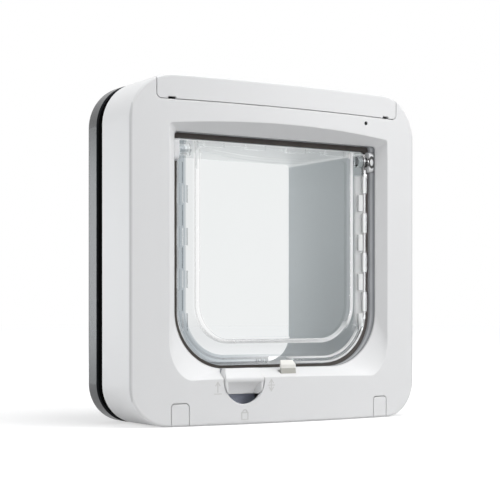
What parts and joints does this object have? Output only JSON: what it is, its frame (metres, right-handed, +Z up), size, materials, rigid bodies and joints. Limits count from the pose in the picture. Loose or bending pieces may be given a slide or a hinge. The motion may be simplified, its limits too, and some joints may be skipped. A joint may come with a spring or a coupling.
{
  "type": "cat flap",
  "caption": "Square door-mounted pet entry with a crowned indoor housing, clear swinging flap, sliding latch, turn lock, passage sleeve and outdoor frame.",
  "frame": {"origin": "middle of the passage, on the plane where the indoor housing meets the door", "axes": "+X to the right seen from the room, +Y through the door to the outside, +Z up"},
  "size_m": [0.21, 0.1091, 0.21],
  "materials": {
    "white_plastic": "satin moulded white",
    "frame_plastic": "dark gloss moulding",
    "lining_plastic": "fine grained grey moulding",
    "ring_plastic": "matt grey moulding",
    "dark_plastic": "matt dark moulding",
    "strip_rubber": "soft dark strip",
    "black_foam": "closed cell foam",
    "clear_plastic": "clear polished moulding",
    "bush_plastic": "smooth bearing plastic",
    "latch_plastic": "warm off-white bearing plastic",
    "inner_plastic": "plain moulding",
    "cell_jacket": "printed jacket left plain",
    "contact_metal": "nickel plated strip",
    "board_laminate": "solder masked laminate",
    "coil_copper": "enamelled copper winding",
    "motor_steel": "plated steel",
    "screw_steel": "zinc plated"
  },
  "bodies": {
    "housing": {"front_housing": "white_plastic", "screw_cover_left": "white_plastic", "screw_cover_right": "white_plastic", "back_cover": "white_plastic", "rear_frame": "frame_plastic", "tunnel_sleeve": "lining_plastic", "antenna_former": "ring_plastic", "draught_strip": "strip_rubber", "weather_seal": "black_foam", "indicator_lens": "clear_plastic", "hinge_bush_left": "bush_plastic", "hinge_bush_right": "bush_plastic", "battery_tray": "inner_plastic", "latch_guide": "inner_plastic", "battery_cells": "cell_jacket", "battery_contacts": "contact_metal", "lock_detent": "contact_metal", "circuit_board": "board_laminate", "antenna_coil": "coil_copper", "latch_motor": "motor_steel", "fixing_screws": "screw_steel", "cover_screws": "screw_steel"},
    "flap": {"flap_panel": "clear_plastic"},
    "latch": {"latch_catch": "latch_plastic", "latch_slider": "latch_plastic"},
    "crank": {"latch_crank": "inner_plastic"},
    "lock": {"lock_knob": "white_plastic", "lock_disc": "dark_plastic", "lock_spindle": "motor_steel", "lock_cam": "dark_plastic"},
    "cover": {"battery_cover": "white_plastic"},
    "button": {"memory_button": "inner_plastic"}
  },
  "joints": [
    {"name": "flap_swing", "type": "hinge", "parent": "housing", "child": "flap", "pos_m": [0, -0.0315, 0.0614], "axis": [1, 0, 0], "range_deg": [-85, 85]},
    {"name": "latch_slide", "type": "slide", "parent": "housing", "child": "latch", "axis": [0, 0, 1], "range_m": [0, 0.005]},
    {"name": "crank_turn", "type": "hinge", "parent": "housing", "child": "crank", "pos_m": [0.0096, -0.0345, -0.088], "axis": [1, 0, 0], "range_deg": [0, 60.1]},
    {"name": "lock_turn", "type": "hinge", "parent": "housing", "child": "lock", "pos_m": [-0.0312, -0.03, -0.0787], "axis": [0, -1, 0], "range_deg": [-90, 180]},
    {"name": "cover_pull", "type": "slide", "parent": "housing", "child": "cover", "axis": [0, -1, 0], "range_m": [0, 0.03]},
    {"name": "button_press", "type": "slide", "parent": "housing", "child": "button", "axis": [0, 1, 0], "range_m": [0, 0.001], "stiffness_N_per_m": 800, "springref_m": -0.001}
  ],
  "couplings": [
    {"joint": "crank_turn", "follows": "latch_slide", "rad_per_m": 209.44}
  ]
}
